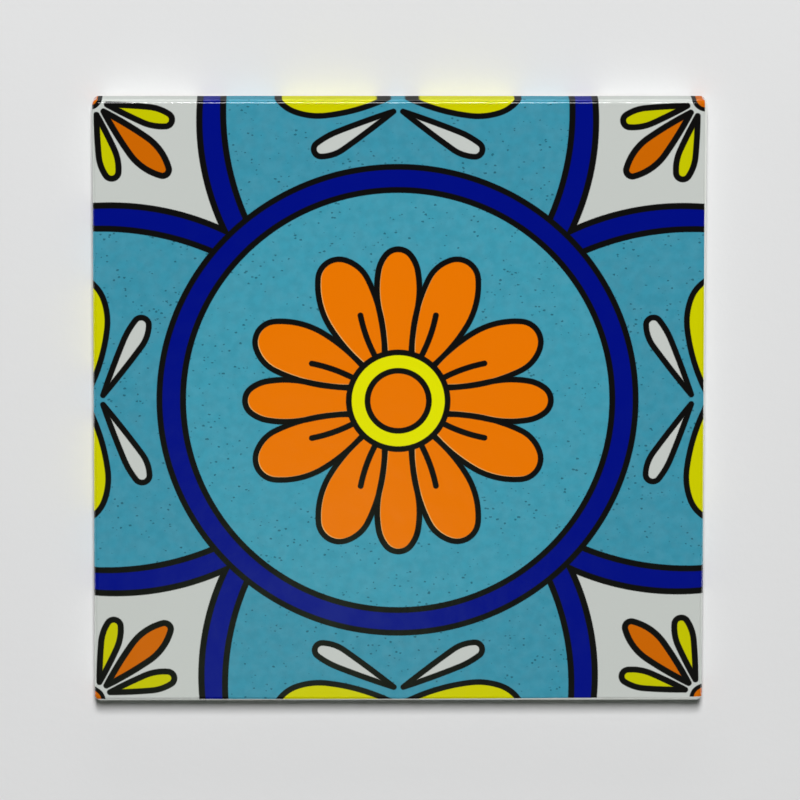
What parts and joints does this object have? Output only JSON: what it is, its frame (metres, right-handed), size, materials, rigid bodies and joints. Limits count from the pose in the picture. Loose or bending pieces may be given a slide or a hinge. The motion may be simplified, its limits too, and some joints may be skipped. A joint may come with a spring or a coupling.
{
  "type": "mexican tile",
  "caption": "Square glazed ceramic wall tile with rounded rim, ribbed back and a printed orange daisy inside a blue ring on turquoise.",
  "frame": {"origin": "middle of the square that the tile lies on, at the crown of its back ribs", "axes": "+Z out of the glazed face, +Y to the top edge of the pattern, +X to its right edge"},
  "size_m": [0.15, 0.15, 0.007],
  "materials": {
    "turquoise_glaze": "gloss"
  },
  "bodies": {
    "root": {"tile": "turquoise_glaze"}
  },
  "joints": []
}
